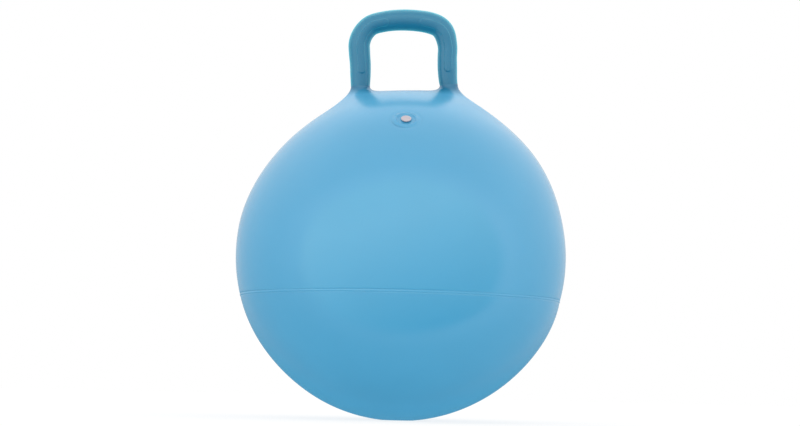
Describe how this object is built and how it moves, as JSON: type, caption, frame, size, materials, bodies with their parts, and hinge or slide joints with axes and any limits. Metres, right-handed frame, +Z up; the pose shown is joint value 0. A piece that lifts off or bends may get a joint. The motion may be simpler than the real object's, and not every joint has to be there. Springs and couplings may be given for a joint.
{
  "type": "hopper ball",
  "caption": "Inflated play ball with a small flat foot, a D-shaped loop handle on top for sitting and hopping, and a push-in valve plug.",
  "frame": {"origin": "on the floor, in the middle of the flat patch on which the ball stands", "axes": "+Z up through the ball to the handle; the handle's loop lies in the XZ plane, so its grip runs along X; the valve is on the -Y side"},
  "size_m": [0.4499, 0.4498, 0.5654],
  "materials": {
    "skin": "gloss",
    "handle": "satin",
    "plug": "matte"
  },
  "bodies": {
    "ball": {"upper_skin": "skin", "lower_skin": "skin", "seam_bead": "skin", "handle": "handle", "valve_seat": "skin"},
    "plug": {"valve_plug": "plug"}
  },
  "joints": [
    {"name": "plug_pull", "type": "slide", "parent": "ball", "child": "plug", "axis": [0, -0.6626, 0.749], "range_m": [0, 0.02]}
  ]
}
